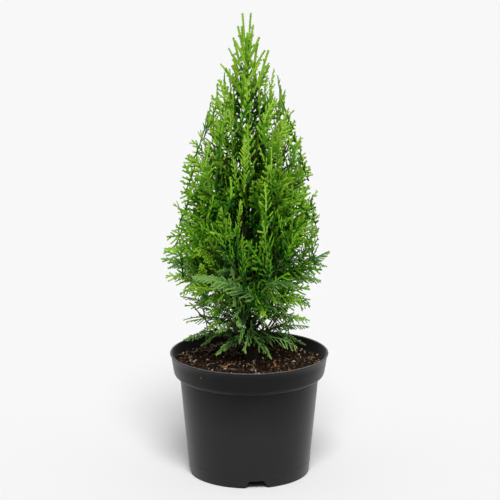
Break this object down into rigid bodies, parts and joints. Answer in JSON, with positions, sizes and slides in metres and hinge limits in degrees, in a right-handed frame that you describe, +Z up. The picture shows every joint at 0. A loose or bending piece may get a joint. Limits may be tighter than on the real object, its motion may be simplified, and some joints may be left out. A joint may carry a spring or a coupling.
{
  "type": "potted thuja",
  "caption": "Young conical thuja with upright fan-like sprays of scale leaves, growing in a round black nursery pot filled with dark peat.",
  "frame": {"origin": "centre of the pot's flat underside, on the surface that it stands on", "axes": "+Z up along the pot's axis; -Y is the front, the side that the plant is shown from; +X to the right seen from the front"},
  "size_m": [0.1834, 0.1755, 0.494],
  "materials": {
    "pot_plastic": "satin, moulded black plastic",
    "peat": "moist dark peat, rough",
    "bark": "thin reddish-brown bark, matt",
    "foliage_skirt": "soft scale leaves, half matt",
    "foliage_lower": "soft scale leaves, half matt",
    "foliage_middle": "soft scale leaves, half matt",
    "foliage_upper": "soft scale leaves, half matt",
    "foliage_top": "soft scale leaves, half matt",
    "foliage_leader": "soft scale leaves, half matt"
  },
  "bodies": {
    "root": {"pot": "pot_plastic", "soil": "peat", "trunk": "bark", "bough_skirt_1": "bark", "bough_skirt_2": "bark", "bough_skirt_3": "bark", "bough_skirt_4": "bark", "bough_skirt_5": "bark", "bough_lower_1": "bark", "bough_lower_2": "bark", "bough_lower_3": "bark", "bough_lower_4": "bark", "bough_lower_5": "bark", "bough_lower_6": "bark", "bough_middle_1": "bark", "bough_middle_2": "bark", "bough_middle_3": "bark", "bough_middle_4": "bark", "bough_middle_5": "bark", "bough_middle_6": "bark", "bough_upper_1": "bark", "bough_upper_2": "bark", "bough_upper_3": "bark", "bough_upper_4": "bark", "bough_top_1": "bark", "bough_top_2": "bark", "bough_top_3": "bark", "bough_leader_1": "bark", "bough_leader_2": "bark", "mass_skirt_1": "foliage_skirt", "mass_skirt_2": "foliage_skirt", "mass_skirt_3": "foliage_skirt", "mass_skirt_4": "foliage_skirt", "mass_skirt_5": "foliage_skirt", "mass_lower_1": "foliage_lower", "mass_lower_2": "foliage_lower", "mass_lower_3": "foliage_lower", "mass_lower_4": "foliage_lower", "mass_lower_5": "foliage_lower", "mass_lower_6": "foliage_lower", "mass_middle_1": "foliage_middle", "mass_middle_2": "foliage_middle", "mass_middle_3": "foliage_middle", "mass_middle_4": "foliage_middle", "mass_middle_5": "foliage_middle", "mass_middle_6": "foliage_middle", "mass_upper_1": "foliage_upper", "mass_upper_2": "foliage_upper", "mass_upper_3": "foliage_upper", "mass_upper_4": "foliage_upper", "mass_top_1": "foliage_top", "mass_top_2": "foliage_top", "mass_top_3": "foliage_top", "mass_leader_1": "foliage_leader", "mass_leader_2": "foliage_leader"}
  },
  "joints": []
}
